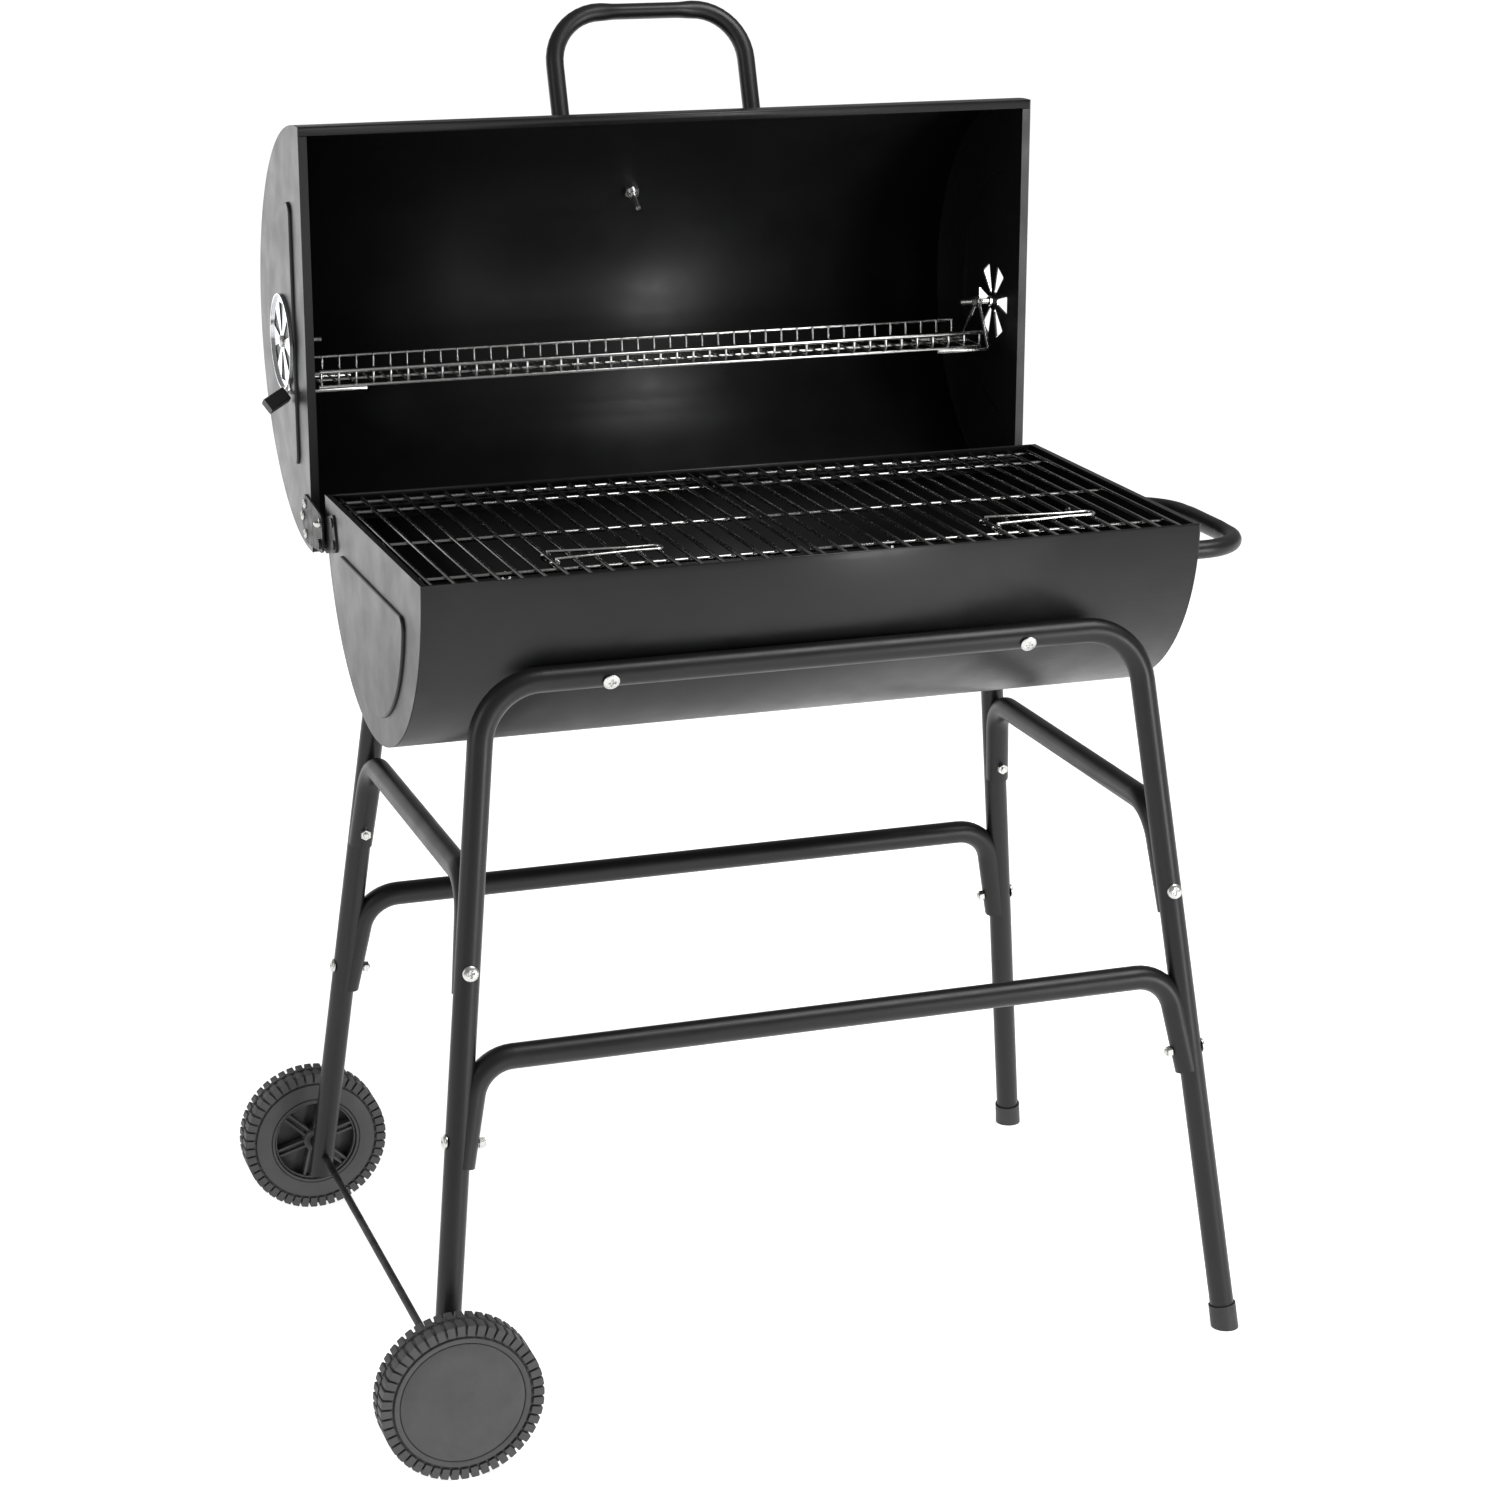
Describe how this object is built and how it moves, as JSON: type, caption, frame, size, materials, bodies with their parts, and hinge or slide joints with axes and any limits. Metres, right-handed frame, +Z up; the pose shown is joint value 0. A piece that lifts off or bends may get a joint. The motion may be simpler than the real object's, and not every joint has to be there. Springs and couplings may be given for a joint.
{
  "type": "barrel charcoal grill on a wheeled stand",
  "caption": "Half-drum charcoal grill on a bent-tube stand with wheels: hinged lid with vents, warming rack and thermometer, lift-out cooking grates and side handle.",
  "frame": {"origin": "on the floor, under the middle of the whole grill's bounding box", "axes": "+Z up, -Y towards the cook at the front, +X towards the side handle, wheels at -X"},
  "size_m": [1.0082, 0.8314, 1.3187],
  "materials": {
    "black_paint": "satin black heat-resistant powder coat",
    "black_steel": "plain black-painted steel bar",
    "bright_wire": "bright chrome-plated steel wire",
    "zinc_steel": "bright zinc-plated steel",
    "damper_chrome": "polished chrome-plated sheet",
    "black_plastic": "moulded black plastic, fine texture",
    "wheel_plastic": "moulded dark grey plastic, fine texture",
    "dial_enamel": "white enamel with black marks",
    "clear_glass": "clear flat glass",
    "needle_red": "red enamel"
  },
  "bodies": {
    "stand_and_bowl": {"bowl_bolts": "zinc_steel", "bowl_bracket_nuts": "black_steel", "bowl_bracket_screws": "black_steel", "bowl_brackets": "black_steel", "bowl_end_left": "black_paint", "bowl_end_right": "black_paint", "bowl_nuts": "zinc_steel", "bowl_shell": "black_paint", "leg_front_left": "black_paint", "leg_front_right": "black_paint", "leg_rear_left": "black_paint", "leg_rear_right": "black_paint", "rail_front": "black_paint", "rail_rear": "black_paint", "stretcher_bolts": "zinc_steel", "stretcher_front": "black_paint", "stretcher_left": "black_paint", "stretcher_nuts": "zinc_steel", "stretcher_rear": "black_paint", "stretcher_right": "black_paint", "grate_ledges": "black_paint", "axle": "black_steel", "axle_caps": "black_steel", "axle_spacers": "black_steel", "foot_caps": "black_plastic", "hinge_pins": "black_steel", "side_handle": "black_paint", "side_handle_screws": "zinc_steel"},
    "lid": {"lid_shell": "black_paint", "lid_end_left": "black_paint", "lid_end_right": "black_paint", "lid_brackets": "black_steel", "lid_bracket_screws": "zinc_steel", "lid_bracket_nuts": "zinc_steel", "stop_screws": "zinc_steel", "lid_handle": "black_paint", "lid_handle_screws": "zinc_steel", "vent_pins": "zinc_steel", "vent_nuts": "zinc_steel", "thermometer_case": "damper_chrome", "thermometer_dial": "dial_enamel", "thermometer_glass": "clear_glass", "thermometer_stem": "zinc_steel", "thermometer_nut": "zinc_steel"},
    "rack": {"warming_rack": "bright_wire", "rack_hangers": "bright_wire"},
    "vent_damper_left": {"damper_left": "damper_chrome", "damper_knob_left": "black_plastic"},
    "vent_damper_right": {"damper_right": "damper_chrome", "damper_knob_right": "black_plastic"},
    "front_wheel": {"wheel_front": "wheel_plastic", "wheel_cover_front": "wheel_plastic"},
    "rear_wheel": {"wheel_rear": "wheel_plastic", "wheel_cover_rear": "wheel_plastic"},
    "left_cooking_grate": {"cooking_grate_left": "bright_wire"},
    "right_cooking_grate": {"cooking_grate_right": "bright_wire"},
    "left_lifter": {"grate_lifter_left": "bright_wire"},
    "right_lifter": {"grate_lifter_right": "bright_wire"},
    "fire_grate": {"charcoal_grate": "black_steel"},
    "pointer": {"thermometer_needle": "needle_red"}
  },
  "joints": [
    {"name": "lid_hinge", "type": "hinge", "parent": "stand_and_bowl", "child": "lid", "pos_m": [-0.01213, 0.1333, 0.7922], "axis": [1, 0, 0], "range_deg": [0, 90]},
    {"name": "rack_swing", "type": "hinge", "parent": "lid", "child": "rack", "pos_m": [-0.01213, 0.2827, 0.979], "axis": [1, 0, 0], "range_deg": [-90, 0]},
    {"name": "damper_turn_left", "type": "hinge", "parent": "lid", "child": "vent_damper_left", "pos_m": [-0.41913, 0.2827, 0.979], "axis": [1, 0, 0], "range_deg": [0, 30]},
    {"name": "damper_turn_right", "type": "hinge", "parent": "lid", "child": "vent_damper_right", "pos_m": [0.39487, 0.2827, 0.979], "axis": [1, 0, 0], "range_deg": [0, 30]},
    {"name": "front_wheel_spin", "type": "hinge", "parent": "stand_and_bowl", "child": "front_wheel", "pos_m": [-0.42412, -0.3973, 0.08], "axis": [0, 1, 0], "continuous": true},
    {"name": "rear_wheel_spin", "type": "hinge", "parent": "stand_and_bowl", "child": "rear_wheel", "pos_m": [-0.42412, 0.2627, 0.08], "axis": [0, 1, 0], "continuous": true},
    {"name": "left_grate_lift", "type": "slide", "parent": "stand_and_bowl", "child": "left_cooking_grate", "axis": [0, 0, -1], "range_m": [-0.06, 0]},
    {"name": "right_grate_lift", "type": "slide", "parent": "stand_and_bowl", "child": "right_cooking_grate", "axis": [0, 0, -1], "range_m": [-0.06, 0]},
    {"name": "left_lifter_fold", "type": "hinge", "parent": "left_cooking_grate", "child": "left_lifter", "pos_m": [-0.26257, -0.1913, 0.838], "axis": [0, -1, 0], "range_deg": [0, 90]},
    {"name": "right_lifter_fold", "type": "hinge", "parent": "right_cooking_grate", "child": "right_lifter", "pos_m": [0.19396, -0.1913, 0.838], "axis": [0, -1, 0], "range_deg": [0, 90]},
    {"name": "fire_grate_lift", "type": "slide", "parent": "stand_and_bowl", "child": "fire_grate", "axis": [0, 0, -1], "range_m": [-0.05, 0]},
    {"name": "pointer_turn", "type": "hinge", "parent": "lid", "child": "pointer", "pos_m": [-0.00313, 0.38551, 1.11183], "axis": [0, -0.848, -0.5299], "range_deg": [0, 270]}
  ],
  "couplings": [
    {"joint": "rack_swing", "follows": "lid_hinge", "ratio": -1}
  ]
}
